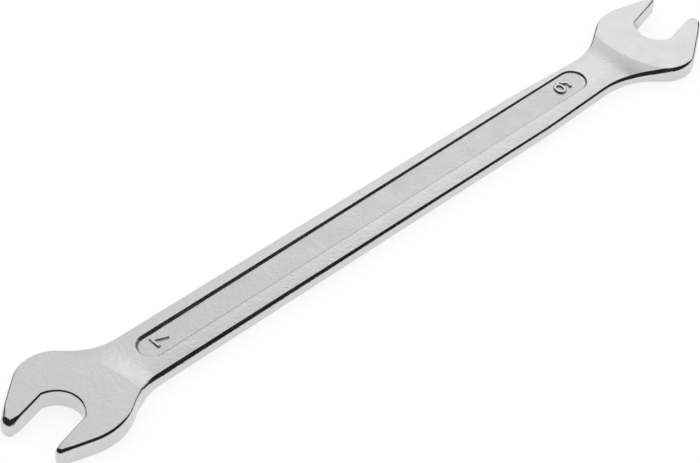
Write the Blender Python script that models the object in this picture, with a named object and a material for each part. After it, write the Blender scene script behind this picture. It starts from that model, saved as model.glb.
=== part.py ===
"""Double open end wrench: one forging with a sunk panel and raised size numerals on each face.

Lengths are in metres. X runs along the shank from the 7 mm head to the 6 mm head and Z is up. The plan is
drawn with both throat bottoms on the X axis and the middle plane at zero. The finished wrench is then moved
so that it lies on zero, centred over the origin.
"""

from collections import namedtuple
from math import acos, asin, atan2, copysign, cos, hypot, pi, radians, sin, tan

import bmesh
import bpy
from mathutils import Matrix, Vector

# Jaws: the sizes they grip, the clearance of a good fit, and their lean from the shank
ACROSS_FLATS_7 = 0.0070
ACROSS_FLATS_6 = 0.0060
JAW_CLEARANCE = 0.00008
JAW_LEAN = radians(15)

# Distance between the two throat bottoms
THROAT_PITCH = 0.1111

# 7 mm head: the depth of its mouth on the blunt and the keen prong, and the width of each prong's tip
HEAD_7_WIDTH = 0.0177
HEAD_7_THICKNESS = 0.0032
BLUNT_7_DEPTH = 0.00915
KEEN_7_DEPTH = 0.0094
BLUNT_7_TIP = 0.0020
KEEN_7_TIP = 0.00095

# 6 mm head
HEAD_6_WIDTH = 0.0160
HEAD_6_THICKNESS = 0.00275
BLUNT_6_DEPTH = 0.0081
KEEN_6_DEPTH = 0.0082
BLUNT_6_TIP = 0.0018
KEEN_6_TIP = 0.0008

# Raised face of each head: its round edge crosses the neck, and a hollow ramp leads down to the shank
FACE_7_RADIUS = 0.0200
FACE_7_REACH = 0.0067
FACE_7_OFFSET = 0.0010
FACE_6_RADIUS = 0.0160
FACE_6_REACH = 0.0056
FACE_6_OFFSET = -0.0003
RAMP_LENGTH = 0.0040

# Shank: its width narrows gently to the bend and faster from there to the 6 mm head
SHANK_7_WIDTH = 0.0098
SHANK_BEND_WIDTH = 0.0087
SHANK_6_WIDTH = 0.0072
BEND_TO_THROAT_6 = 0.0246
BEND_RADIUS = 0.0600
SHANK_7_THICKNESS = 0.00274
SHANK_6_THICKNESS = 0.00205
CROWN_RADIUS = 0.0700

# Sunk panel on each face of the shank
PANEL_WIDTH = 0.0046
PANEL_7_GAP = 0.0118
PANEL_6_GAP = 0.0130
PANEL_7_DEPTH = 0.00040
PANEL_6_DEPTH = 0.00028
PANEL_7_RISE = 0.0001
PANEL_6_RISE = 0.0007
PANEL_FLOOR_RADIUS = 0.0001

# Raised size numerals. Their height is measured between the middles of their strokes.
NUMERAL_HEIGHT = 0.0023
NUMERAL_STROKE = 0.0005
NUMERAL_RELIEF = 0.0002
NUMERAL_ROUNDING = 0.0001
NUMERAL_7_INSET = 0.00425
NUMERAL_6_INSET = 0.00415
NUMERAL_RISE = 0.00015

# Rounding of the outer edges
EDGE_RADIUS = 0.0003

# Shares of the jaw's opening
THROAT_RADIUS_SHARE = 0.55

# Shares of the tip's width: the rounding at the mouth and at the outer corner
BLUNT_TIP_ROUNDING_SHARES = (0.43, 0.50)
KEEN_TIP_ROUNDING_SHARES = (0.35, 0.76)

# Shares of the head's width. A shoulder is its place along the jaw, across it, and its rounding.
# A root is its distance behind the throat bottom, and its rounding.
BLUNT_7_SHOULDER_SHARES = (-0.155, 0.615, 0.353)
KEEN_7_SHOULDER_SHARES = (0.058, 0.539, 0.543)
BLUNT_7_ROOT_SHARES = (0.409, 0.628)
KEEN_7_ROOT_SHARES = (0.452, 0.582)
BLUNT_6_SHOULDER_SHARES = (-0.148, 0.567, 0.290)
KEEN_6_SHOULDER_SHARES = (0.023, 0.530, 0.416)
BLUNT_6_ROOT_SHARES = (0.538, 0.787)
KEEN_6_ROOT_SHARES = (0.548, 0.576)

# Shares of the numeral's height, from its middle: right, up. The middles of the strokes, top to foot.
SEVEN_SHARES = ((-0.36, 0.50), (0.36, 0.50), (0.08, -0.10), (-0.04, -0.50))
SIX_TAIL_SHARES = ((0.31, 0.40), (0.17, 0.49), (0.0, 0.49), (-0.17, 0.40), (-0.29, 0.20), (-0.35, -0.02))
SIX_BOWL_MIDDLE_SHARES = (0.0, -0.24)
SIX_BOWL_RADIUS_SHARES = (0.36, 0.27)

# Share of a rail's width, outwards from the panel's rim: the lengthwise line where its crowned face bends
RAIL_LINE_SHARE = 0.45

# Share of the ramp's length that the fan of cuts runs past it
NECK_MARGIN_SHARE = 0.1

# Share of the plan's tightest corner that the edge rounding may take
TIGHTEST_CORNER_SHARE = 0.9

# Share of the flat blank's half thickness where the panel's floor lies before the faces are shaped
BLANK_FLOOR_SHARE = 0.4

# Shares of an edge's rounding: points closer than these are one point, or lie on a cut
WELD_SHARE = 0.003
ON_CUT_SHARE = 0.07

# Share of a side of the plan that the roundings at its two ends may take together
ROUNDED_SIDE_SHARE = 0.95

# Points along each kind of round stretch, and the angle between the cuts that fan out over a neck
SHOULDER_STEPS = 12
ROOT_STEPS = 8
TIP_STEPS = 4
BEND_STEPS = 2
THROAT_STEPS = 12
PANEL_END_STEPS = 16
BOWL_STEPS = 18
RAMP_STEPS = 4
EDGE_STEPS = 3
FLOOR_STEPS = 1
FAN_STEP = radians(5)
FAN_HALF_STEPS = 7

# The stretch of the six's bowl that its outer edge follows
SIX_BOWL_SWEEP = radians(300)

# The least upright part of a level face's normal
FLAT = 0.99

# The upper and the lower face
SIDES = ((1, "upper"), (-1, "lower"))

STEEL_COLOUR = (0.62, 0.62, 0.61, 1.0)
STEEL_ROUGHNESS = 0.3

Prong = namedtuple("Prong", "depth tip tip_rounding shoulder root")
Head = namedtuple("Head", "side throat gap width thickness shank_width face_radius face_reach face_offset"
                          " blunt keen")

# The driving sizes gathered by head. The throat bottoms lie half the pitch either side of the plan's middle.
HEAD_7 = Head(
    -1, -THROAT_PITCH / 2, ACROSS_FLATS_7 + JAW_CLEARANCE, HEAD_7_WIDTH, HEAD_7_THICKNESS, SHANK_7_WIDTH,
    FACE_7_RADIUS, FACE_7_REACH, FACE_7_OFFSET,
    Prong(BLUNT_7_DEPTH, BLUNT_7_TIP, BLUNT_TIP_ROUNDING_SHARES,
          BLUNT_7_SHOULDER_SHARES, BLUNT_7_ROOT_SHARES),
    Prong(KEEN_7_DEPTH, KEEN_7_TIP, KEEN_TIP_ROUNDING_SHARES,
          KEEN_7_SHOULDER_SHARES, KEEN_7_ROOT_SHARES))
HEAD_6 = Head(
    1, THROAT_PITCH / 2, ACROSS_FLATS_6 + JAW_CLEARANCE, HEAD_6_WIDTH, HEAD_6_THICKNESS, SHANK_6_WIDTH,
    FACE_6_RADIUS, FACE_6_REACH, FACE_6_OFFSET,
    Prong(BLUNT_6_DEPTH, BLUNT_6_TIP, BLUNT_TIP_ROUNDING_SHARES,
          BLUNT_6_SHOULDER_SHARES, BLUNT_6_ROOT_SHARES),
    Prong(KEEN_6_DEPTH, KEEN_6_TIP, KEEN_TIP_ROUNDING_SHARES,
          KEEN_6_SHOULDER_SHARES, KEEN_6_ROOT_SHARES))

BEND_X = HEAD_6.throat - BEND_TO_THROAT_6
PANEL_7_END = HEAD_7.throat + PANEL_7_GAP
PANEL_6_END = HEAD_6.throat - PANEL_6_GAP
PANEL_LENGTH = PANEL_6_END - PANEL_7_END
BLANK_HALF = max(HEAD_7_THICKNESS, HEAD_6_THICKNESS) / 2


def on_jaw(head, along, across):
    """A place in the plan. Along runs out of the mouth from the throat bottom, across to the keen prong."""
    return (head.throat + head.side * (along * cos(JAW_LEAN) - across * sin(JAW_LEAN)),
            head.side * (along * sin(JAW_LEAN) + across * cos(JAW_LEAN)))


def face_centre(head):
    """The middle of the raised face's round edge, in the plan."""
    return on_jaw(head, head.face_radius - head.face_reach, head.face_offset)


def prong_corners(head, prong, hand):
    """Corners of one prong from its mouth back to the shank, each with a rounding radius and its steps.

    The hand is 1 on the keen side and -1 on the blunt side.
    """
    flat = hand * head.gap / 2
    mouth_share, outer_share = prong.tip_rounding
    shoulder_along, shoulder_across, shoulder_rounding = [share * head.width for share in prong.shoulder]
    root_back, root_rounding = [share * head.width for share in prong.root]
    return [(*on_jaw(head, prong.depth, flat), prong.tip * mouth_share, TIP_STEPS),
            (*on_jaw(head, prong.depth, flat + hand * prong.tip), prong.tip * outer_share, TIP_STEPS),
            (*on_jaw(head, shoulder_along, hand * shoulder_across), shoulder_rounding, SHOULDER_STEPS),
            (head.throat - head.side * root_back, head.side * hand * head.shank_width / 2, root_rounding,
             ROOT_STEPS)]


def throat(head):
    """Points of the round throat from the blunt flat to the keen flat, which need no rounding."""
    radius = head.gap * THROAT_RADIUS_SHARE
    half_angle = asin(head.gap / 2 / radius)
    turns = [half_angle * (2 * step / THROAT_STEPS - 1) for step in range(THROAT_STEPS + 1)]
    return [(*on_jaw(head, radius - radius * cos(turn), radius * sin(turn)), 0, 0) for turn in turns]


def head_corners(head):
    """Corners round one head, from the shank on its blunt side to the shank on its keen side."""
    return prong_corners(head, head.blunt, -1)[::-1] + throat(head) + prong_corners(head, head.keen, 1)


def plan_corners():
    """Corners of the wrench's plan, anticlockwise."""
    upper_bend = (BEND_X, SHANK_BEND_WIDTH / 2, BEND_RADIUS, BEND_STEPS)
    lower_bend = (BEND_X, -SHANK_BEND_WIDTH / 2, BEND_RADIUS, BEND_STEPS)
    return head_corners(HEAD_6) + [upper_bend] + head_corners(HEAD_7) + [lower_bend]


def ways_from(before, corner, after):
    """The ways from a corner to its neighbours, and half the angle between them."""
    to_before = (Vector(before[:2]) - Vector(corner[:2])).normalized()
    to_after = (Vector(after[:2]) - Vector(corner[:2])).normalized()
    return to_before, to_after, acos(max(-1, min(1, to_before.dot(to_after)))) / 2


def with_room(corners):
    """The corners with each rounding kept within the sides that it shares with its neighbours."""
    following = corners[1:] + corners[:1]
    reaches = [corner[2] / tan(ways_from(before, corner, after)[2])
               for before, corner, after in zip(corners[-1:] + corners, corners, following)]
    room_shares = []
    for corner, after, reach, next_reach in zip(corners, following, reaches, reaches[1:] + reaches[:1]):
        side = hypot(after[0] - corner[0], after[1] - corner[1])
        room_shares.append(ROUNDED_SIDE_SHARE * side / max(reach + next_reach, ROUNDED_SIDE_SHARE * side))
    return [(x, y, radius * min(share_before, share_after), steps)
            for (x, y, radius, steps), share_before, share_after
            in zip(corners, room_shares[-1:] + room_shares, room_shares)]


def rounded(before, corner, after):
    """Points of the arc that rounds one corner of the outline."""
    radius, steps = corner[2:]
    middle = Vector(corner[:2])
    to_before, to_after, half_angle = ways_from(before, corner, after)
    centre = middle + (to_before + to_after).normalized() * radius / sin(half_angle)
    start = middle + to_before * radius / tan(half_angle) - centre
    end = middle + to_after * radius / tan(half_angle) - centre
    first = atan2(start.y, start.x)
    sweep = (atan2(end.y, end.x) - first + pi) % (2 * pi) - pi
    turns = [first + sweep * step / steps for step in range(steps + 1)]
    return [(centre.x + radius * cos(turn), centre.y + radius * sin(turn)) for turn in turns]


def outline(corners):
    """Points of the plan, with an arc at each corner that has a rounding."""
    points = []
    for before, corner, after in zip(corners[-1:] + corners, corners, corners[1:] + corners[:1]):
        points += rounded(before, corner, after) if corner[2] else [corner[:2]]
    return points


CORNERS = with_room(plan_corners())
OUTLINE = outline(CORNERS)

# The edge rounding stays smaller than the tightest corner of the plan
EDGE = min(EDGE_RADIUS, TIGHTEST_CORNER_SHARE * min(radius for x, y, radius, steps in CORNERS if radius))


def shank_half_thickness(x):
    """Half the shank's thickness on its middle line, which tapers evenly between the panel's ends."""
    share = (x - PANEL_7_END) / PANEL_LENGTH
    return (SHANK_7_THICKNESS + (SHANK_6_THICKNESS - SHANK_7_THICKNESS) * share) / 2


def floor_height(x):
    """Height of the panel's floor above the middle plane."""
    share = (x - PANEL_7_END) / PANEL_LENGTH
    depth = PANEL_7_DEPTH + (PANEL_6_DEPTH - PANEL_7_DEPTH) * share
    return shank_half_thickness(x) - depth


def panel_y(x):
    """The panel's middle line, which rises from the shank's towards the 6 mm head."""
    return PANEL_7_RISE + (PANEL_6_RISE - PANEL_7_RISE) * (x - PANEL_7_END) / PANEL_LENGTH


def half_thickness(x, y):
    """Half the wrench's thickness at a place in the plan: the crowned shank, the ramps and the flat heads."""
    half = shank_half_thickness(x) - y * y / (2 * CROWN_RADIUS)
    for head in (HEAD_7, HEAD_6):
        centre_x, centre_y = face_centre(head)
        past_face = hypot(x - centre_x, y - centre_y) - head.face_radius
        rise_share = max(0.0, 1 - max(0.0, past_face) / RAMP_LENGTH) ** 2
        half += (head.thickness / 2 - half) * rise_share
    return half


def satin_plated_steel():
    """The material of the whole wrench: forged steel with a satin plated finish."""
    steel = bpy.data.materials.new("satin_plated_steel")
    steel.use_nodes = True
    shader = steel.node_tree.nodes["Principled BSDF"]
    shader.inputs["Base Color"].default_value = STEEL_COLOUR
    shader.inputs["Metallic"].default_value = 1.0
    shader.inputs["Roughness"].default_value = STEEL_ROUGHNESS
    return steel


def evaluated_mesh(source):
    """The object's shape with its modifiers, or its curve's solid, as a mesh of its own."""
    bpy.context.view_layer.update()
    return bpy.data.meshes.new_from_object(source.evaluated_get(bpy.context.evaluated_depsgraph_get()))


def flat_solid(name, outlines, half_height, rounding, rounding_steps, collection, matrix):
    """A flat solid between closed outlines, with its edges rounded, as a mesh with one face on each side."""
    curve = bpy.data.curves.new(name, "CURVE")
    curve.dimensions = "2D"
    curve.fill_mode = "BOTH"
    curve.extrude = half_height - rounding
    curve.bevel_depth = rounding
    curve.offset = -rounding
    curve.bevel_resolution = rounding_steps - 1
    for places in outlines:
        spline = curve.splines.new("POLY")
        spline.points.add(len(places) - 1)
        for point, (x, y) in zip(spline.points, places):
            point.co = (x, y, 0, 1)
        spline.use_cyclic_u = True
    source = bpy.data.objects.new(name, curve)
    collection.objects.link(source)
    source.matrix_world = matrix
    mesh = evaluated_mesh(source)
    bpy.data.objects.remove(source)
    shape = bmesh.new()
    shape.from_mesh(mesh)
    bmesh.ops.remove_doubles(shape, verts=shape.verts, dist=rounding * WELD_SHARE)
    bmesh.ops.recalc_face_normals(shape, faces=shape.faces)
    bmesh.ops.dissolve_faces(shape, faces=[face for face in shape.faces if abs(face.normal.z) > FLAT])
    shape.to_mesh(mesh)
    shape.free()
    solid = bpy.data.objects.new(name, mesh)
    solid.matrix_world = matrix
    collection.objects.link(solid)
    return solid


def combine(target, guide, operation):
    """Cuts a solid out of the target, or joins it on. The solid stays as a wire guide that moves along."""
    guide.hide_render = True
    guide.display_type = "WIRE"
    guide.parent = target
    modifier = target.modifiers.new(guide.name, "BOOLEAN")
    modifier.operation = operation
    modifier.object = guide


def in_plan(face, centre):
    """The way from a centre to the middle of a face, seen from above."""
    way = face.calc_center_median() - centre
    return Vector((way.x, way.y, 0))


def cut(shape, faces, point, normal):
    """Divides the given faces where a plane crosses them."""
    edges = {edge for face in faces for edge in face.edges}
    verts = {vert for face in faces for vert in face.verts}
    bmesh.ops.bisect_plane(shape, geom=list(verts) + list(edges) + list(faces), plane_co=point,
                           plane_no=normal, dist=EDGE * ON_CUT_SHARE)


def cut_neck(shape, head):
    """Fans cuts out over a neck from the middle of its raised face, then cuts along the ramp's rings."""
    centre = Vector((*face_centre(head), 0))
    back = Vector((-head.side * cos(JAW_LEAN), -head.side * sin(JAW_LEAN), 0))
    turns = [FAN_STEP * step for step in range(-FAN_HALF_STEPS, FAN_HALF_STEPS + 1)]
    rays = [Matrix.Rotation(turn, 3, "Z") @ back for turn in turns]
    nearest = head.face_radius * cos(turns[-1])
    farthest = head.face_radius + RAMP_LENGTH * (1 + NECK_MARGIN_SHARE)

    def neck():
        return [face for face in shape.faces if nearest < in_plan(face, centre).dot(back) < farthest]

    for distance in (nearest, farthest):
        cut(shape, shape.faces[:], centre + back * distance, back)
    for ray in rays:
        cut(shape, neck(), centre, ray.cross(Vector((0, 0, 1))))
    for first, second in zip(rays, rays[1:]):
        middle = (first + second).normalized()
        for ring in range(RAMP_STEPS + 1):
            reach = (head.face_radius + RAMP_LENGTH * ring / RAMP_STEPS) * cos(FAN_STEP / 2)
            sector = [face for face in neck() if in_plan(face, centre).angle(middle) < FAN_STEP / 2]
            cut(shape, sector, centre + middle * reach, middle)


def cut_rails(shape):
    """Cuts a lengthwise line in each rail, so that its face bends down from the panel to the edge."""
    for side in (1, -1):
        rim_7 = PANEL_7_RISE + side * PANEL_WIDTH / 2
        rim_6 = PANEL_6_RISE + side * PANEL_WIDTH / 2
        first = Vector((PANEL_7_END, rim_7 + RAIL_LINE_SHARE * (side * SHANK_7_WIDTH / 2 - rim_7), 0))
        last = Vector((PANEL_6_END, rim_6 + RAIL_LINE_SHARE * (side * SHANK_6_WIDTH / 2 - rim_6), 0))
        rails = [face for face in shape.faces if not is_floor(face) and abs(face.normal.z) > FLAT
                 and PANEL_7_END < face.calc_center_median().x < PANEL_6_END]
        cut(shape, rails, first, (last - first).cross(Vector((0, 0, 1))))


def panel_rim():
    """Points of the panel's rim about its own middle: straight sides and half round ends."""
    radius = PANEL_WIDTH / 2
    run = PANEL_LENGTH / 2 - radius
    turns = [pi * step / PANEL_END_STEPS - pi / 2 for step in range(PANEL_END_STEPS + 1)]
    end = [(run + radius * cos(turn), radius * sin(turn)) for turn in turns]
    return end + [(-x, -y) for x, y in end]


def is_low(vert):
    """Whether a point of the flat blank is on a panel's floor or the rounding at its foot."""
    return abs(vert.co.z) < (BLANK_HALF * BLANK_FLOOR_SHARE + BLANK_HALF - EDGE) / 2


def is_floor(face):
    """Whether a face of the flat blank is a panel's floor."""
    return all(is_low(vert) for vert in face.verts)


def flat_blank(parts, guides):
    """The wrench as a flat plate with rounded edges and a panel sunk into each side."""
    blank = flat_solid("wrench_forging", [OUTLINE], BLANK_HALF, EDGE, EDGE_STEPS, parts, Matrix())
    half_depth = BLANK_HALF * (1 - BLANK_FLOOR_SHARE)
    middle = (PANEL_7_END + PANEL_6_END) / 2
    turn = Matrix.Rotation(atan2(PANEL_6_RISE - PANEL_7_RISE, PANEL_LENGTH), 4, "Z")
    for side, side_name in SIDES:
        place = Matrix.Translation((middle, panel_y(middle), side * BLANK_HALF))
        cutter = flat_solid(f"panel_cutter_{side_name}", [panel_rim()], half_depth, PANEL_FLOOR_RADIUS,
                            FLOOR_STEPS, guides, place @ turn)
        combine(blank, cutter, "DIFFERENCE")
    blank.data = evaluated_mesh(blank)
    blank.modifiers.clear()
    return blank


def shape_faces(blank):
    """Gives the flat blank its real thickness everywhere: crowned shank, ramps, heads and sloping floors."""
    shape = bmesh.new()
    shape.from_mesh(blank.data)
    cut_neck(shape, HEAD_7)
    cut_neck(shape, HEAD_6)
    cut_rails(shape)
    many_sided = [face for face in shape.faces if len(face.verts) > 4 and not is_floor(face)]
    bmesh.ops.triangulate(shape, faces=many_sided)
    for vert in shape.verts:
        if is_low(vert):
            shift = floor_height(vert.co.x) - BLANK_HALF * BLANK_FLOOR_SHARE
        else:
            shift = half_thickness(vert.co.x, vert.co.y) - BLANK_HALF
        vert.co.z += copysign(1, vert.co.z) * shift
    shape.to_mesh(blank.data)
    shape.free()


def beside(path, distance):
    """The path moved sideways, to its left for a positive distance, with mitred corners."""
    places = [Vector(place) for place in path]
    ways = [(after - before).normalized() for before, after in zip(places, places[1:])]
    moved = []
    for place, arriving, leaving in zip(places, ways[:1] + ways, ways + ways[-1:]):
        both = arriving + leaving
        moved.append(place + Vector((-both.y, both.x)) * 2 * distance / both.length_squared)
    return moved


def sized(shares):
    """Places in a numeral from their shares of its height."""
    return [(right * NUMERAL_HEIGHT, up * NUMERAL_HEIGHT) for right, up in shares]


def ellipse(middle, wide, tall, start, sweep, steps):
    """Points along an ellipse or a stretch of one."""
    turns = [start + sweep * step / steps for step in range(steps + 1)]
    return [(middle[0] + wide * cos(turn), middle[1] + tall * sin(turn)) for turn in turns]


def seven_outlines():
    """The seven's outline: one bent stroke."""
    path = sized(SEVEN_SHARES)
    return [beside(path, NUMERAL_STROKE / 2) + beside(path, -NUMERAL_STROKE / 2)[::-1]]


def six_outlines():
    """The six's outlines: its tail runs into the outer edge of its bowl, and the bowl is open inside."""
    middle, (wide, tall) = sized([SIX_BOWL_MIDDLE_SHARES, SIX_BOWL_RADIUS_SHARES])
    half = NUMERAL_STROKE / 2
    tail = sized(SIX_TAIL_SHARES)
    bowl = ellipse(middle, wide + half, tall + half, pi, SIX_BOWL_SWEEP, BOWL_STEPS)
    hole = ellipse(middle, wide - half, tall - half, 0, 2 * pi, BOWL_STEPS)
    return [bowl + beside(tail, half)[-2::-1] + beside(tail, -half), hole[1:]]


def raise_numeral(target, guides, name, outlines, x, lean, side):
    """Raises a numeral from a panel's floor, turned so that its top points to its own head."""
    place = Matrix.Translation((x, panel_y(x) + NUMERAL_RISE, side * floor_height(x)))
    over = Matrix.Rotation(0 if side > 0 else pi, 4, "X")
    turn = Matrix.Rotation(lean, 4, "Z")
    numeral = flat_solid(name, outlines, NUMERAL_RELIEF, NUMERAL_ROUNDING, FLOOR_STEPS, guides,
                         place @ over @ turn)
    combine(target, numeral, "UNION")


def rest_on_ground(target):
    """Moves the wrench so that it lies on zero, with its plan's box centred over the origin."""
    xs, ys = zip(*OUTLINE)
    target.location = (-(max(xs) + min(xs)) / 2, -(max(ys) + min(ys)) / 2, BLANK_HALF)


for item in list(bpy.data.objects):
    bpy.data.objects.remove(item)
wrench_parts = bpy.data.collections.new("open_end_wrench")
guide_solids = bpy.data.collections.new("cutters_and_numerals")
bpy.context.scene.collection.children.link(wrench_parts)
bpy.context.scene.collection.children.link(guide_solids)

wrench = flat_blank(wrench_parts, guide_solids)
shape_faces(wrench)
wrench.data.materials.append(satin_plated_steel())
for side, side_name in SIDES:
    raise_numeral(wrench, guide_solids, f"seven_{side_name}", seven_outlines(),
                  PANEL_7_END + NUMERAL_7_INSET, pi / 2, side)
    raise_numeral(wrench, guide_solids, f"six_{side_name}", six_outlines(),
                  PANEL_6_END - NUMERAL_6_INSET, -pi / 2, side)
rest_on_ground(wrench)
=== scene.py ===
from collections import namedtuple
from math import acos, asin, cos, hypot, pi, radians, sin, tan

import bmesh
import bpy
from mathutils import Matrix, Vector


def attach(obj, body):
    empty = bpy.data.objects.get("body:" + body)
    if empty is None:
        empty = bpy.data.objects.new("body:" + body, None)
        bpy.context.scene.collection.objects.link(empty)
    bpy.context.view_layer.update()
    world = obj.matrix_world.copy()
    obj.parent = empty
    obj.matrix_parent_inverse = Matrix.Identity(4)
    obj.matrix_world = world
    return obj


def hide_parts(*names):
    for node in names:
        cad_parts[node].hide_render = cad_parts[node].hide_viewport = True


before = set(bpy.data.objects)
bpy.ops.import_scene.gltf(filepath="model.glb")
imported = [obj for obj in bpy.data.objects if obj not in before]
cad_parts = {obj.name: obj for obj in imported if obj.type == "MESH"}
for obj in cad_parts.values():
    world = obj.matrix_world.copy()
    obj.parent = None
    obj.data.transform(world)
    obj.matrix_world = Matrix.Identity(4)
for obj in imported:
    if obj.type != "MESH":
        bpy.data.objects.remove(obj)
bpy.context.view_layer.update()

# Jaws: the gap of each, their lean from the shank, and the distance between the throat bottoms
JAW_7_GAP = 0.00708
JAW_6_GAP = 0.00608
JAW_LEAN = radians(15)
THROAT_PITCH = 0.1111
THROAT_RADIUS_SHARE = 0.55

# Shank: the width falls gently to the bend and faster from there to the 6 mm head
SHANK_7_WIDTH = 0.0098
SHANK_BEND_WIDTH = 0.0087
SHANK_6_WIDTH = 0.0072
BEND_TO_THROAT_6 = 0.0246
BEND_X = THROAT_PITCH / 2 - BEND_TO_THROAT_6
BEND_RADIUS = 0.0600
SHANK_7_THICKNESS = 0.00274
SHANK_6_THICKNESS = 0.00205
CROWN_RADIUS = 0.0700

# Sunk panel: its rim, with its gap from each throat bottom and its rise above the line of the throats, and
# the sloped wall that leads down to its floor
PANEL_WIDTH = 0.0046
PANEL_7_GAP = 0.0118
PANEL_6_GAP = 0.0130
PANEL_7_END = -THROAT_PITCH / 2 + PANEL_7_GAP
PANEL_6_END = THROAT_PITCH / 2 - PANEL_6_GAP
PANEL_LENGTH = PANEL_6_END - PANEL_7_END
PANEL_7_RISE = 0.00024
PANEL_6_RISE = 0.00062
PANEL_7_DEPTH = 0.00052
PANEL_6_DEPTH = 0.00029
PANEL_7_WALL = 0.00052
PANEL_6_WALL = 0.00030

# Raised numerals in the panel. The slope is how far their sides lean in on the way up.
NUMERAL_HEIGHT = 0.0023
NUMERAL_STROKE = 0.00056
NUMERAL_RELIEF = 0.00030
NUMERAL_SLOPE = 0.00017
NUMERAL_RISE = 0.00005
SEVEN_INSET = 0.00425
SIX_INSET = 0.00415
SEVEN_X = PANEL_7_END + SEVEN_INSET
SIX_X = PANEL_6_END - SIX_INSET

# Roundings of the edges along the shank, at the mouth and in the throat. The prongs have their own below.
# Each starts at a crease, where the ground faces stop, and turns from the crease angle to upright.
SHANK_7_EDGE = 0.00105
SHANK_BEND_EDGE = 0.00058
SHANK_6_EDGE = 0.00060
MOUTH_EDGE = 0.0005
THROAT_EDGE = 0.0004
CREASE_ANGLE = radians(25)

# The straight stretch beside a prong's tip over which its rounding widens, and the widest one underneath
TIP_FADE = 0.0013
UNDER_TIP_EDGE = 0.00105

# Ramp from the shank up to a thicker head, and how its cuts crowd towards the raised face
RAMP_LENGTH = 0.0040
RAMP_CROWDING = 1.5

# Shares of the numeral's height, from its middle: right, up. The middles of the strokes, top to foot.
SEVEN_SHARES = ((-0.36, 0.50), (0.36, 0.50), (0.08, -0.10), (-0.04, -0.50))
SIX_TAIL_SHARES = ((0.31, 0.40), (0.17, 0.49), (0.0, 0.49), (-0.17, 0.40), (-0.29, 0.20), (-0.35, -0.02))
SIX_BOWL_MIDDLE_SHARES = (0.0, -0.24)
SIX_BOWL_RADIUS_SHARES = (0.36, 0.27)
SIX_BOWL_SWEEP = radians(300)

# Steps along each kind of round stretch
ARC_STEPS = 24
TIP_STEPS = 10
BEND_STEPS = 6
THROAT_STEPS = 32
PANEL_END_STEPS = 40
EDGE_STEPS = 8
WALL_STEPS = 9
RAMP_STEPS = 12
FAN_STEP = radians(2.5)
FAN_HALF_STEPS = 15
BOWL_STEPS = 40
NUMERAL_STEPS = 6

# Lengthwise cuts in a rail, as shares of the way from the panel's rim to the shank's side
RAIL_SHARES = (0.2, 0.4, 0.6, 0.75)

# How far the fan of cuts reaches past a ramp's foot, how near a point counts as lying on a cut or on a
# raised face's edge, and how near two points of the halves are joined
NECK_MARGIN = 0.0004
ON_CUT = 0.00002
ON_EDGE = 0.00003
WELD = ON_CUT / 10

# Camera, fitted to the photograph from the jaws' flats and the straight panel
TARGET = Vector((-0.00576, -0.00190, 0.0032))
CAMERA_AZIMUTH = radians(-44.704)
CAMERA_ELEVATION = radians(45)
CAMERA_ROLL = radians(2.87)
CAMERA_DISTANCE = 0.504
LENS_MM = 184.1
CLIP_START = 0.01

# Floor: a grey that the glow lifts to white, so that the shadow stays soft
FLOOR_SIZE = 6
FLOOR_COLOUR = "#8C8C8C"
FLOOR_GLOW = 0.80
MATT_ROUGHNESS = 0.9

# Light from all round, with soft patches: azimuth, elevation, and how much brighter or darker they are
LIGHT_STRENGTH = 0.86
PATCH_INNER = radians(1)
PATCH_OUTER = radians(10)
LIGHT_PATCHES = ((radians(131), radians(42), 0.38), (radians(126), radians(57), -0.24),
                 (radians(160), radians(60), 0.12))

# Dark cloths on the camera's side: a high tent, and a low band that reaches further round
CLOTH_COLOUR = "#0C0C0C"
CLOTH_DISTANCE = 1.5
CLOTH_LOWEST = radians(2)
TENT_HIGHEST = radians(72)
TENT_HALF_WIDTH = radians(110)
BAND_HIGHEST = radians(22)
BAND_HALF_WIDTH = radians(158)
CLOTH_RISE_STEPS = 12
CLOTH_TURN_STEPS = 36

# Finish: blots of dullness, the forging's swell, hairlines along the wrench, and nicks. The tooth and the
# hairlines of a real plate are finer than the render can show, so both are drawn coarser. A pair of noise
# values says where a blot or a nick starts and where it is full.
BLOT_SIZE = 0.0015
BLOT_DETAIL = 4
BLOT_NOISE = (0.3, 0.7)
BLOT_ROUGHNESS_SHARES = (0.8, 1.25)
SWELL_SIZE = 0.0012
SWELL_DETAIL = 2
TOOTH_DETAIL = 3
HAIRLINE_SIZE = 0.00016
HAIRLINE_DETAIL = 1
HAIRLINE_STRETCH = 0.06
HAIRLINE_DEPTH = 0.0000020
NICK_SIZE = 0.0007
NICK_DETAIL = 1
NICK_NOISE = (0.77, 0.82)
NICK_DEPTH = 0.000010
NICK_SHADE = 0.85
NOISE_ROUGHNESS = 0.6

# A corner has the edge rounding at its first and its last point
Corner = namedtuple("Corner", "x y radius steps first_edge last_edge")
Prong = namedtuple("Prong", "depth tip mouth_rounding outer_rounding side_edge tip_edge flank_edge"
                            " neck_edge shoulder shoulder_radius root root_radius")
Head = namedtuple("Head", "side throat gap thickness shank_width face_radius face_reach face_offset"
                          " blunt keen")

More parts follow.
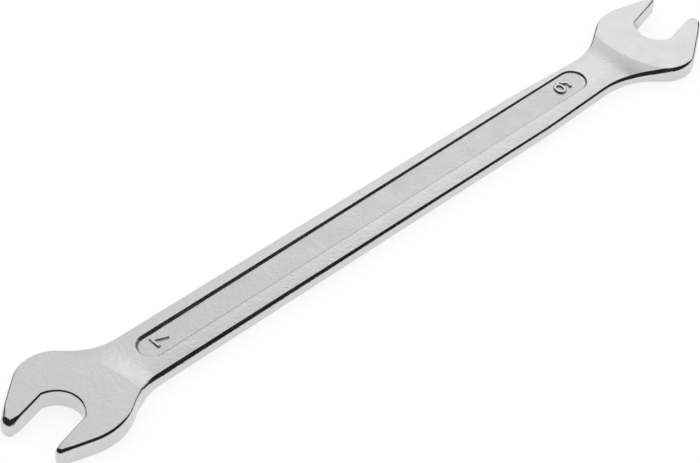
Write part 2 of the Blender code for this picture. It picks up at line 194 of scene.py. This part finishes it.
# A shoulder is its place along the jaw and across it; a root is its distance behind the throat bottom
HEAD_7 = Head(
    side=-1, throat=-THROAT_PITCH / 2, gap=JAW_7_GAP, thickness=0.0032, shank_width=SHANK_7_WIDTH,
    face_radius=0.0200, face_reach=0.0067, face_offset=0.0010,
    blunt=Prong(depth=0.0092, tip=0.0020, mouth_rounding=0.00090, outer_rounding=0.00150,
                side_edge=0.00120, tip_edge=0.00152, flank_edge=0.00055, neck_edge=0.0006,
                shoulder=(-0.00274, 0.01086), shoulder_radius=0.00625, root=0.00724, root_radius=0.01112),
    keen=Prong(depth=0.0094, tip=0.0011, mouth_rounding=0.00060, outer_rounding=0.00075,
               side_edge=0.00085, tip_edge=0.00100, flank_edge=0.00065, neck_edge=0.00055,
               shoulder=(0.00103, 0.00952), shoulder_radius=0.00961, root=0.00800, root_radius=0.01030))
HEAD_6 = Head(
    side=1, throat=THROAT_PITCH / 2, gap=JAW_6_GAP, thickness=0.00275, shank_width=SHANK_6_WIDTH,
    face_radius=0.0160, face_reach=0.0056, face_offset=-0.0003,
    blunt=Prong(depth=0.00814, tip=0.0019, mouth_rounding=0.00100, outer_rounding=0.00130,
                side_edge=0.00080, tip_edge=0.00100, flank_edge=0.0005, neck_edge=0.00085,
                shoulder=(-0.00237, 0.00907), shoulder_radius=0.00464, root=0.00861, root_radius=0.01259),
    keen=Prong(depth=0.0082, tip=0.0009, mouth_rounding=0.00045, outer_rounding=0.00065,
               side_edge=0.00060, tip_edge=0.00070, flank_edge=0.00055, neck_edge=0.0006,
               shoulder=(0.00037, 0.00848), shoulder_radius=0.00666, root=0.00877, root_radius=0.00922))
HEADS = (HEAD_7, HEAD_6)
BLANK_HALF = HEAD_7.thickness / 2


def on_jaw(head, along, across):
    """A place in the plan. Along runs out of the mouth from the throat bottom, across to the keen prong."""
    return (head.throat + head.side * (along * cos(JAW_LEAN) - across * sin(JAW_LEAN)),
            head.side * (along * sin(JAW_LEAN) + across * cos(JAW_LEAN)))


def face_centre(head):
    """The middle of the raised face's round edge, in the plan."""
    return on_jaw(head, head.face_radius - head.face_reach, head.face_offset)


def prong_corners(head, prong, hand):
    """Corners of one prong, from its mouth back to the shank. The hand is 1 for the keen one, else -1."""
    flat = hand * head.gap / 2
    shank_edge = SHANK_7_EDGE if head.side < 0 else SHANK_6_EDGE
    outer = Vector(on_jaw(head, prong.depth, flat + hand * prong.tip))
    shoulder = Vector(on_jaw(head, prong.shoulder[0], hand * prong.shoulder[1]))
    flank = outer + (shoulder - outer).normalized() * (prong.outer_rounding + TIP_FADE)
    return [Corner(*on_jaw(head, prong.depth - prong.mouth_rounding - TIP_FADE, flat), 0, 0, MOUTH_EDGE,
                   MOUTH_EDGE),
            Corner(*on_jaw(head, prong.depth, flat), prong.mouth_rounding, TIP_STEPS, prong.side_edge,
                   prong.tip_edge),
            Corner(*outer, prong.outer_rounding, TIP_STEPS, prong.tip_edge, prong.side_edge),
            Corner(*flank, 0, 0, prong.flank_edge, prong.flank_edge),
            Corner(*shoulder, prong.shoulder_radius, ARC_STEPS, prong.flank_edge, prong.neck_edge),
            Corner(head.throat - head.side * prong.root, head.side * hand * head.shank_width / 2,
                   prong.root_radius, ARC_STEPS, prong.neck_edge, shank_edge)]


def throat_corners(head):
    """Points of the round throat from the blunt flat to the keen flat, which need no rounding."""
    radius = head.gap * THROAT_RADIUS_SHARE
    half_angle = asin(head.gap / 2 / radius)
    turns = [half_angle * (2 * step / THROAT_STEPS - 1) for step in range(THROAT_STEPS + 1)]
    places = [on_jaw(head, radius - radius * cos(turn), radius * sin(turn)) for turn in turns]
    return [Corner(*place, 0, 0, THROAT_EDGE, THROAT_EDGE) for place in places]


def head_corners(head):
    """Corners round one head, from the shank on its blunt side to the shank on its keen side."""
    blunt = [corner._replace(first_edge=corner.last_edge, last_edge=corner.first_edge)
             for corner in reversed(prong_corners(head, head.blunt, -1))]
    return blunt + throat_corners(head) + prong_corners(head, head.keen, 1)


def spin_corner(shape, before, corner, after):
    """Spins a point round the arc of one corner and gives the arc's points in order."""
    middle = Vector((corner.x, corner.y, 0))
    to_before = (Vector((before.x, before.y, 0)) - middle).normalized()
    to_after = (Vector((after.x, after.y, 0)) - middle).normalized()
    half_angle = acos(to_before.dot(to_after)) / 2
    centre = middle + (to_before + to_after).normalized() * corner.radius / sin(half_angle)
    first = shape.verts.new(middle + to_before * corner.radius / tan(half_angle))
    turn = pi - 2 * half_angle
    if to_before.cross(to_after).z > 0:
        turn = -turn
    count = len(shape.verts)
    bmesh.ops.spin(shape, geom=[first], cent=centre, axis=(0, 0, 1), angle=turn, steps=corner.steps)
    shape.verts.ensure_lookup_table()
    return [first] + shape.verts[count:]


def draw_outline(shape):
    """Draws the wrench's plan as a closed line. Gives its points and the edge rounding at each of them."""
    corners = head_corners(HEAD_6)
    corners.append(Corner(BEND_X, SHANK_BEND_WIDTH / 2, BEND_RADIUS, BEND_STEPS, SHANK_BEND_EDGE,
                          SHANK_BEND_EDGE))
    corners += head_corners(HEAD_7)
    corners.append(Corner(BEND_X, -SHANK_BEND_WIDTH / 2, BEND_RADIUS, BEND_STEPS, SHANK_BEND_EDGE,
                          SHANK_BEND_EDGE))
    points = []
    edges = []
    for before, corner, after in zip(corners[-1:] + corners, corners, corners[1:] + corners[:1]):
        if corner.radius:
            arc = spin_corner(shape, before, corner, after)
        else:
            arc = [shape.verts.new((corner.x, corner.y, 0))]
        points += arc
        change = corner.last_edge - corner.first_edge
        shares = [step / max(1, len(arc) - 1) for step in range(len(arc))]
        edges += [corner.first_edge + change * share * share * (3 - 2 * share) for share in shares]
    close_line(shape, points)
    return points, edges


def close_line(shape, points):
    """Joins points in order into a closed line."""
    for pair in zip(points, points[1:] + points[:1]):
        if not shape.edges.get(pair):
            shape.edges.new(pair)


def inward_ways(points):
    """For each point of a closed anticlockwise line, the way that moves the line inwards by one metre."""
    places = [Vector((point.co.x, point.co.y)) for point in points]
    ways = [(after - place).normalized() for place, after in zip(places, places[1:] + places[:1])]
    inward = []
    for arriving, leaving in zip(ways[-1:] + ways, ways):
        both = arriving + leaving
        inward.append(Vector((-both.y, both.x, 0)) * 2 / both.length_squared)
    return inward


def extrude_line(shape, points):
    """Extrudes a closed line in place and gives the new points in the same order."""
    edges = [shape.edges.get(pair) for pair in zip(points, points[1:] + points[:1])]
    made = set(bmesh.ops.extrude_edge_only(shape, edges=edges)["geom"])
    return [next(edge.other_vert(point) for edge in point.link_edges if edge.other_vert(point) in made)
            for point in points]


def raise_side(shape, outline, edges):
    """Raises the upright side from the middle plane and rounds it over onto the upper face."""
    inward = inward_ways(outline)
    starts = [point.co.copy() for point in outline]
    ring = outline
    for step in range(EDGE_STEPS + 1):
        turn = pi / 2 + (CREASE_ANGLE - pi / 2) * step / EDGE_STEPS
        ring = extrude_line(shape, ring)
        for point, start, way, edge in zip(ring, starts, inward, edges):
            point.co = start + way * edge * (1 - sin(turn))
            point.co.z = BLANK_HALF - edge * (cos(CREASE_ANGLE) - cos(turn))
    fold(shape, ring)
    return ring


def fold(shape, line):
    """Makes a closed line of points a sharp fold, where the shading breaks."""
    for pair in zip(line, line[1:] + line[:1]):
        shape.edges.get(pair).smooth = False


def fold_face(shape, head):
    """Makes the round edge of a raised face a sharp fold."""
    centre = Vector(face_centre(head))
    for edge in shape.edges:
        if all(abs((vert.co.xy - centre).length - head.face_radius) < ON_EDGE for vert in edge.verts):
            edge.smooth = False


def panel_y(x):
    """The panel's middle line, which rises towards the 6 mm head."""
    return PANEL_7_RISE + (PANEL_6_RISE - PANEL_7_RISE) * (x - PANEL_7_END) / PANEL_LENGTH


def draw_rim(shape):
    """Draws the panel's rim on the flat upper face, from the foot of its 6 mm end, anticlockwise."""
    radius = PANEL_WIDTH / 2
    points = []
    for x, start in ((PANEL_6_END - radius, -radius), (PANEL_7_END + radius, radius)):
        centre = Vector((x, panel_y(x), BLANK_HALF))
        first = shape.verts.new(centre + Vector((0, start, 0)))
        count = len(shape.verts)
        bmesh.ops.spin(shape, geom=[first], cent=centre, axis=(0, 0, 1), angle=pi, steps=PANEL_END_STEPS)
        shape.verts.ensure_lookup_table()
        points += [first] + shape.verts[count:]
    close_line(shape, points)
    return points


def fill_face(shape, top, rim):
    """Fills the upper face round the panel with two faces that meet on the line from throat to throat."""
    throats = [Vector((head.throat, 0)) for head in (HEAD_6, HEAD_7)]
    throat_6, throat_7 = [min(range(len(top)), key=lambda index: (top[index].co.xy - throat).length)
                          for throat in throats]
    middle_6 = PANEL_END_STEPS // 2
    middle_7 = middle_6 + PANEL_END_STEPS + 1
    shape.faces.new(top[throat_6:throat_7 + 1] + rim[middle_6:middle_7 + 1][::-1])
    shape.faces.new(top[throat_7:] + top[:throat_6 + 1] + rim[:middle_6 + 1][::-1] + rim[middle_7:][::-1])


def cut(shape, faces, point, normal):
    """Divides the given faces where a plane crosses them."""
    edges = {edge for face in faces for edge in face.edges}
    verts = {vert for face in faces for vert in face.verts}
    bmesh.ops.bisect_plane(shape, geom=list(verts) + list(edges) + list(faces), plane_co=point,
                           plane_no=normal, dist=ON_CUT)


def in_plan(face, centre):
    """The way from a centre to the middle of a face, seen from above."""
    way = face.calc_center_median() - centre
    return Vector((way.x, way.y, 0))


def cut_neck(shape, head):
    """Fans cuts out over a neck from the middle of its raised face, then cuts along the ramp's rings."""
    centre = Vector((*face_centre(head), 0))
    back = Vector((-head.side * cos(JAW_LEAN), -head.side * sin(JAW_LEAN), 0))
    turns = [FAN_STEP * step for step in range(-FAN_HALF_STEPS, FAN_HALF_STEPS + 1)]
    rays = [Matrix.Rotation(turn, 3, "Z") @ back for turn in turns]
    nearest = head.face_radius * cos(turns[-1])
    farthest = head.face_radius + RAMP_LENGTH + NECK_MARGIN

    def neck():
        return [face for face in shape.faces if nearest < in_plan(face, centre).dot(back) < farthest]

    for distance in (nearest, farthest):
        cut(shape, shape.faces[:], centre + back * distance, back)
    for ray in rays:
        cut(shape, neck(), centre, ray.cross(Vector((0, 0, 1))))
    for first, second in zip(rays, rays[1:]):
        middle = (first + second).normalized()
        sector = [face for face in neck() if in_plan(face, centre).angle(middle) < FAN_STEP / 2]
        for ring in range(RAMP_STEPS + 1):
            past_face = RAMP_LENGTH * (ring / RAMP_STEPS) ** RAMP_CROWDING
            reach = (head.face_radius + past_face) * cos(FAN_STEP / 2)
            cut(shape, sector, centre + middle * reach, middle)
            sector = [face for face in neck() if in_plan(face, centre).angle(middle) < FAN_STEP / 2]


def cut_rails(shape):
    """Cuts lengthwise lines in both rails, so that their crowned faces bend towards the edges."""
    for side in (1, -1):
        rim_7 = PANEL_7_RISE + side * PANEL_WIDTH / 2
        rim_6 = PANEL_6_RISE + side * PANEL_WIDTH / 2
        for share in RAIL_SHARES:
            first = Vector((PANEL_7_END, rim_7 + share * (side * SHANK_7_WIDTH / 2 - rim_7), 0))
            last = Vector((PANEL_6_END, rim_6 + share * (side * SHANK_6_WIDTH / 2 - rim_6), 0))
            rails = [face for face in shape.faces if len(face.verts) > 4
                     and PANEL_7_END < face.calc_center_median().x < PANEL_6_END]
            cut(shape, rails, first, (last - first).cross(Vector((0, 0, 1))))


def shank_half_thickness(x):
    """Half the shank's thickness on its middle line, which tapers evenly between the panel's ends."""
    share = (x - PANEL_7_END) / PANEL_LENGTH
    return (SHANK_7_THICKNESS + (SHANK_6_THICKNESS - SHANK_7_THICKNESS) * share) / 2


def half_thickness(x, y):
    """Half the wrench's thickness at a place in the plan: crowned shank, ramps and flat heads."""
    half = shank_half_thickness(x) - y * y / (2 * CROWN_RADIUS)
    for head in HEADS:
        centre_x, centre_y = face_centre(head)
        past_face = hypot(x - centre_x, y - centre_y) - head.face_radius
        rise_share = max(0.0, 1 - max(0.0, past_face) / RAMP_LENGTH) ** 2
        half += (head.thickness / 2 - half) * rise_share
    return half


def floor_height(x):
    """Height of the panel's floor above the middle plane."""
    share = (x - PANEL_7_END) / PANEL_LENGTH
    return shank_half_thickness(x) - PANEL_7_DEPTH - (PANEL_6_DEPTH - PANEL_7_DEPTH) * share


def sink_panel(shape, rim):
    """Leads the panel's sloped wall down from its rim and gives the line round its floor."""
    inward = inward_ways(rim)
    starts = [point.co.copy() for point in rim]
    ring = rim
    for step in range(1, WALL_STEPS + 1):
        share = step / WALL_STEPS
        before = set(shape.faces)
        ring = extrude_line(shape, ring)
        for face in set(shape.faces) - before:
            face.material_index = 1
        if step == 1:
            fold(shape, rim)
        for point, start, way in zip(ring, starts, inward):
            along = (start.x - PANEL_7_END) / PANEL_LENGTH
            point.co = start + way * share * (PANEL_7_WALL + (PANEL_6_WALL - PANEL_7_WALL) * along)
            point.co.z = start.z + (floor_height(point.co.x) - start.z) * share * share * (3 - 2 * share)
    fold(shape, ring)
    return ring


def beside(path, distance):
    """The path moved sideways, to its left for a positive distance, with mitred corners."""
    places = [Vector(place) for place in path]
    ways = [(after - before).normalized() for before, after in zip(places, places[1:])]
    moved = []
    for place, arriving, leaving in zip(places, ways[:1] + ways, ways + ways[-1:]):
        both = arriving + leaving
        moved.append(place + Vector((-both.y, both.x)) * 2 * distance / both.length_squared)
    return moved


def sized(shares):
    """Places in a numeral from their shares of its height."""
    return [(right * NUMERAL_HEIGHT, up * NUMERAL_HEIGHT) for right, up in shares]


def ellipse(middle, wide, tall, start, sweep):
    """Points along an ellipse or a stretch of one."""
    turns = [start + sweep * step / BOWL_STEPS for step in range(BOWL_STEPS + 1)]
    return [(middle[0] + wide * cos(turn), middle[1] + tall * sin(turn)) for turn in turns]


def seven_outlines():
    """The seven's outline: one bent stroke."""
    path = sized(SEVEN_SHARES)
    return [beside(path, -NUMERAL_STROKE / 2) + beside(path, NUMERAL_STROKE / 2)[::-1]]


def six_outlines():
    """The six's outlines: its tail runs into the outer edge of its bowl, and the bowl is open inside."""
    middle, (wide, tall) = sized([SIX_BOWL_MIDDLE_SHARES, SIX_BOWL_RADIUS_SHARES])
    half = NUMERAL_STROKE / 2
    tail = sized(SIX_TAIL_SHARES)
    bowl = ellipse(middle, wide + half, tall + half, pi, SIX_BOWL_SWEEP)
    hole = ellipse(middle, wide - half, tall - half, 0, 2 * pi)
    return [bowl + beside(tail, half)[-2::-1] + beside(tail, -half), hole[:0:-1]]


def is_anticlockwise(places):
    """Whether a closed line of places runs anticlockwise."""
    return sum(x * after_y - after_x * y for (x, y), (after_x, after_y)
               in zip(places, places[1:] + places[:1])) > 0


def draw_numeral(shape, outlines, x, lean, hand):
    """Draws a numeral's outlines on the panel's floor. The hand is -1 where the face is seen from below."""
    turn = Matrix.Rotation(lean, 2)
    lines = []
    for number, outline in enumerate(outlines):
        places = [turn @ Vector(place) for place in outline]
        places = [(x + place.x, panel_y(x) + NUMERAL_RISE + hand * place.y) for place in places]
        if is_anticlockwise(places) == bool(number):
            places.reverse()
        line = [shape.verts.new((*place, floor_height(place[0]))) for place in places]
        close_line(shape, line)
        fold(shape, line)
        lines.append(line)
    return lines


def line_edges(shape, line):
    """The edges of a closed line of points."""
    return [shape.edges.get(pair) for pair in zip(line, line[1:] + line[:1])]


def raise_numeral(shape, lines):
    """Raises a numeral's rounded sides from the floor and closes its top."""
    top = []
    for line in lines:
        inward = inward_ways(line)
        starts = [point.co.copy() for point in line]
        ring = line
        for step in range(1, NUMERAL_STEPS + 1):
            share = step / NUMERAL_STEPS
            ring = extrude_line(shape, ring)
            for point, start, way in zip(ring, starts, inward):
                point.co = start + way * NUMERAL_SLOPE * share
                point.co.z = start.z + NUMERAL_RELIEF * share * (2 - share)
        fold(shape, ring)
        top += line_edges(shape, ring)
    bmesh.ops.triangle_fill(shape, use_beauty=True, edges=top)


def shape_half(hand):
    """The wrench's upper half, open at the middle plane. The hand is -1 for the half to be turned over."""
    shape = bmesh.new()
    outline, edges = draw_outline(shape)
    if hand < 0:
        edges = [min(edge, UNDER_TIP_EDGE) for edge in edges]
    top = raise_side(shape, outline, edges)
    rim = draw_rim(shape)
    fill_face(shape, top, rim)
    for head in HEADS:
        cut_neck(shape, head)
    cut_rails(shape)
    many_sided = [face for face in shape.faces if len(face.verts) > 4]
    bmesh.ops.triangulate(shape, faces=many_sided, quad_method="BEAUTY", ngon_method="BEAUTY")
    for vert in shape.verts:
        if vert.co.z > 0:
            vert.co.z += half_thickness(vert.co.x, vert.co.y) - BLANK_HALF
    for head in HEADS:
        fold_face(shape, head)
    floor_line = sink_panel(shape, rim)
    seven = draw_numeral(shape, seven_outlines(), SEVEN_X, pi / 2, hand)
    six = draw_numeral(shape, six_outlines(), SIX_X, -pi / 2, hand)
    edges = [edge for line in (floor_line, *seven, *six) for edge in line_edges(shape, line)]
    floor = bmesh.ops.triangle_fill(shape, use_beauty=True, edges=edges)["geom"]
    for face in floor:
        if isinstance(face, bmesh.types.BMFace):
            face.material_index = 1
    for numeral in (seven, six):
        raise_numeral(shape, numeral)
    return shape


def shape_wrench():
    """The whole wrench, from its upper half and its lower half turned over."""
    shape = shape_half(1)
    other = shape_half(-1)
    bmesh.ops.scale(other, vec=(1, 1, -1), verts=other.verts)
    lower = bpy.data.meshes.new("lower_half")
    other.to_mesh(lower)
    other.free()
    shape.from_mesh(lower)
    bpy.data.meshes.remove(lower)
    bmesh.ops.remove_doubles(shape, verts=[vert for vert in shape.verts if abs(vert.co.z) < ON_CUT],
                             dist=WELD)
    bmesh.ops.recalc_face_normals(shape, faces=shape.faces)
    return shape


def add_object(name, shape, materials):
    """Makes an object of a finished shape, smooth but for its sharp folds."""
    mesh = bpy.data.meshes.new(name)
    shape.to_mesh(mesh)
    shape.free()
    thing = bpy.data.objects.new(name, mesh)
    bpy.context.scene.collection.objects.link(thing)
    for material in materials:
        mesh.materials.append(material)
    mesh.polygons.foreach_set("use_smooth", [True] * len(mesh.polygons))
    return thing


def linear_colour(code):
    """The linear colour of an sRGB hex value, by the sRGB standard's own formula."""
    shares = [int(code[start:start + 2], 16) / 255 for start in (1, 3, 5)]
    return [share / 12.92 if share <= 0.04045 else ((share + 0.055) / 1.055) ** 2.4
            for share in shares] + [1]


def add_node(tree, kind, links=(), **settings):
    """Adds a node. Settings are its own values, or its sockets' where they start with at_."""
    node = tree.nodes.new(kind)
    for name, value in settings.items():
        if name.startswith("at_"):
            node.inputs[name[3:].replace("_", " ")].default_value = value
        else:
            setattr(node, name, value)
    for socket, source in dict(links).items():
        tree.links.new(source, node.inputs[socket])
    return node


def grain(tree, place, size, detail):
    """Noise whose blots are about the given size in metres."""
    return add_node(tree, "ShaderNodeTexNoise", {"Vector": place}, at_Scale=1 / (2 * size),
                    at_Detail=detail, at_Roughness=NOISE_ROUGHNESS).outputs["Fac"]


def plated(name, colour, roughness, swell_depth, tooth_size, tooth_depth):
    """Chrome plate on forged steel: a bright metal that blurs what it mirrors.

    The eye gets a slow swell from the forging, the fine tooth of the blasting or barrel polishing, faint
    hairlines along the wrench, and small dull nicks from use.
    """
    material = bpy.data.materials.new(name)
    material.use_nodes = True
    tree = material.node_tree
    shader = tree.nodes["Principled BSDF"]
    shader.inputs["Metallic"].default_value = 1
    place = add_node(tree, "ShaderNodeTexCoord").outputs["Object"]
    brightest, dullest = [roughness * share for share in BLOT_ROUGHNESS_SHARES]
    dullness = add_node(tree, "ShaderNodeMapRange", {"Value": grain(tree, place, BLOT_SIZE, BLOT_DETAIL)},
                        at_From_Min=BLOT_NOISE[0], at_From_Max=BLOT_NOISE[1], at_To_Min=brightest,
                        at_To_Max=dullest)
    lengthwise = add_node(tree, "ShaderNodeMapping", {"Vector": place}, at_Scale=(HAIRLINE_STRETCH, 1, 1))
    nicks = add_node(tree, "ShaderNodeMapRange", {"Value": grain(tree, place, NICK_SIZE, NICK_DETAIL)},
                     at_From_Min=NICK_NOISE[0], at_From_Max=NICK_NOISE[1]).outputs["Result"]
    shade = add_node(tree, "ShaderNodeMapRange", {"Value": nicks}, at_To_Min=1.0, at_To_Max=NICK_SHADE)
    tint = add_node(tree, "ShaderNodeVectorMath", {"Scale": shade.outputs["Result"]}, operation="SCALE")
    tint.inputs[0].default_value = linear_colour(colour)[:3]
    swells = grain(tree, place, SWELL_SIZE, SWELL_DETAIL)
    tooth = grain(tree, place, tooth_size, TOOTH_DETAIL)
    hairlines = grain(tree, lengthwise.outputs["Vector"], HAIRLINE_SIZE, HAIRLINE_DETAIL)
    normal = None
    for height, depth in ((swells, swell_depth), (tooth, tooth_depth), (hairlines, HAIRLINE_DEPTH),
                          (nicks, -NICK_DEPTH)):
        links = {"Height": height, "Normal": normal} if normal else {"Height": height}
        normal = add_node(tree, "ShaderNodeBump", links, at_Distance=abs(depth),
                          invert=depth < 0).outputs["Normal"]
    tree.links.new(tint.outputs["Vector"], shader.inputs["Base Color"])
    tree.links.new(dullness.outputs["Result"], shader.inputs["Roughness"])
    tree.links.new(normal, shader.inputs["Normal"])
    return material


def way_at(azimuth, elevation):
    """The way from the object to a place at an azimuth and elevation."""
    return Vector((sin(azimuth) * cos(elevation), -cos(azimuth) * cos(elevation), sin(elevation)))


def light_the_stage():
    """Soft white light from all round, with a few soft patches where the metal mirrors the far side.

    The camera itself sees plain white past the floor's edge.
    """
    world = bpy.data.worlds.new("studio")
    bpy.context.scene.world = world
    world.use_nodes = True
    tree = world.node_tree
    way = add_node(tree, "ShaderNodeTexCoord").outputs["Generated"]
    strength = add_node(tree, "ShaderNodeValue").outputs[0]
    strength.default_value = LIGHT_STRENGTH
    for azimuth, elevation, change in LIGHT_PATCHES:
        dot = add_node(tree, "ShaderNodeVectorMath", {0: way}, operation="DOT_PRODUCT")
        dot.inputs[1].default_value = way_at(azimuth, elevation)
        patch = add_node(tree, "ShaderNodeMapRange", {"Value": dot.outputs["Value"]},
                         interpolation_type="SMOOTHSTEP", at_From_Min=cos(PATCH_OUTER),
                         at_From_Max=cos(PATCH_INNER), at_To_Min=0.0, at_To_Max=change)
        strength = add_node(tree, "ShaderNodeMath", {0: strength, 1: patch.outputs["Result"]},
                            operation="ADD").outputs[0]
    rays = add_node(tree, "ShaderNodeLightPath").outputs
    seen = add_node(tree, "ShaderNodeMath", {0: strength, 1: rays["Is Camera Ray"]}, operation="MAXIMUM")
    tree.links.new(seen.outputs[0], tree.nodes["Background"].inputs["Strength"])
    tree.nodes["Background"].inputs["Color"].default_value = (1, 1, 1, 1)


def matt(name, code):
    """A matt surface of the stage."""
    material = bpy.data.materials.new(name)
    material.use_nodes = True
    shader = material.node_tree.nodes["Principled BSDF"]
    shader.inputs["Base Color"].default_value = linear_colour(code)
    shader.inputs["Roughness"].default_value = MATT_ROUGHNESS
    return material


def white_floor():
    """A white table lit from below as well: it shows white, and keeps a soft shadow of the wrench."""
    material = matt("white_table", FLOOR_COLOUR)
    tree = material.node_tree
    shader = tree.nodes["Principled BSDF"]
    shader.inputs["Specular IOR Level"].default_value = 0
    shader.inputs["Emission Color"].default_value = (1, 1, 1, 1)
    rays = add_node(tree, "ShaderNodeLightPath").outputs
    seen = add_node(tree, "ShaderNodeMath", {0: rays["Is Camera Ray"], 1: rays["Is Glossy Ray"]},
                    operation="MAXIMUM")
    glow = add_node(tree, "ShaderNodeMath", {0: seen.outputs[0]}, operation="MULTIPLY")
    glow.inputs[1].default_value = FLOOR_GLOW
    tree.links.new(glow.outputs[0], shader.inputs["Emission Strength"])
    return material


def add_floor():
    """The table top that the wrench lies on."""
    shape = bmesh.new()
    bmesh.ops.create_grid(shape, x_segments=1, y_segments=1, size=FLOOR_SIZE / 2)
    floor = add_object("floor", shape, [white_floor()])


def add_dark_cloth(name, highest, half_width):
    """A dark cloth round the camera's side. Only the metal shows it, as the dark lines of its edges."""
    shape = bmesh.new()
    side = Vector((cos(CAMERA_AZIMUTH - half_width), sin(CAMERA_AZIMUTH - half_width), 0))
    first = shape.verts.new(way_at(CAMERA_AZIMUTH - half_width, CLOTH_LOWEST) * CLOTH_DISTANCE)
    bmesh.ops.spin(shape, geom=[first], cent=(0, 0, 0), axis=-side, angle=highest - CLOTH_LOWEST,
                   steps=CLOTH_RISE_STEPS)
    bmesh.ops.spin(shape, geom=shape.verts[:] + shape.edges[:], cent=(0, 0, 0), axis=(0, 0, 1),
                   angle=2 * half_width, steps=CLOTH_TURN_STEPS)
    cloth = add_object(name, shape, [matt(name, CLOTH_COLOUR)])
    cloth.visible_camera = False
    cloth.visible_diffuse = False
    cloth.visible_shadow = False


def add_camera():
    """The camera at the photograph's angle."""
    camera = bpy.data.objects.new("camera", bpy.data.cameras.new("camera"))
    bpy.context.scene.collection.objects.link(camera)
    back = way_at(CAMERA_AZIMUTH, CAMERA_ELEVATION)
    right = Vector((cos(CAMERA_AZIMUTH), sin(CAMERA_AZIMUTH), 0))
    level = Matrix((right, back.cross(right), back)).transposed()
    turned = level @ Matrix.Rotation(CAMERA_ROLL, 3, "Z")
    camera.matrix_world = Matrix.Translation(TARGET + back * CAMERA_DISTANCE) @ turned.to_4x4()
    camera.data.lens = LENS_MM
    camera.data.clip_start = CLIP_START
    bpy.context.scene.camera = camera


# The wrench's plate is barrel polished and mirrors softly. The panel was blasted first, so it is duller.
finishes = [plated("satin_plated_steel", colour="#D2D3D2", roughness=0.18, swell_depth=0.000018,
                   tooth_size=0.00028, tooth_depth=0.0000260),
            plated("blasted_panel_steel", colour="#CFD0CF", roughness=0.26, swell_depth=0.000020,
                   tooth_size=0.00030, tooth_depth=0.0000500)]
wrench = add_object("plated_wrench", shape_wrench(), finishes)
lowest = min(vert.co.x for vert in wrench.data.vertices)
highest = max(vert.co.x for vert in wrench.data.vertices)
near = min(vert.co.y for vert in wrench.data.vertices)
far = max(vert.co.y for vert in wrench.data.vertices)
wrench.data.transform(Matrix.Translation((-(lowest + highest) / 2, -(near + far) / 2, BLANK_HALF)))
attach(wrench, "root")
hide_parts("wrench_forging")

add_camera()
light_the_stage()
add_floor()
add_dark_cloth("dark_tent", TENT_HIGHEST, TENT_HALF_WIDTH)
add_dark_cloth("dark_band", BAND_HIGHEST, BAND_HALF_WIDTH)

bpy.context.scene.view_settings.view_transform = "Standard"
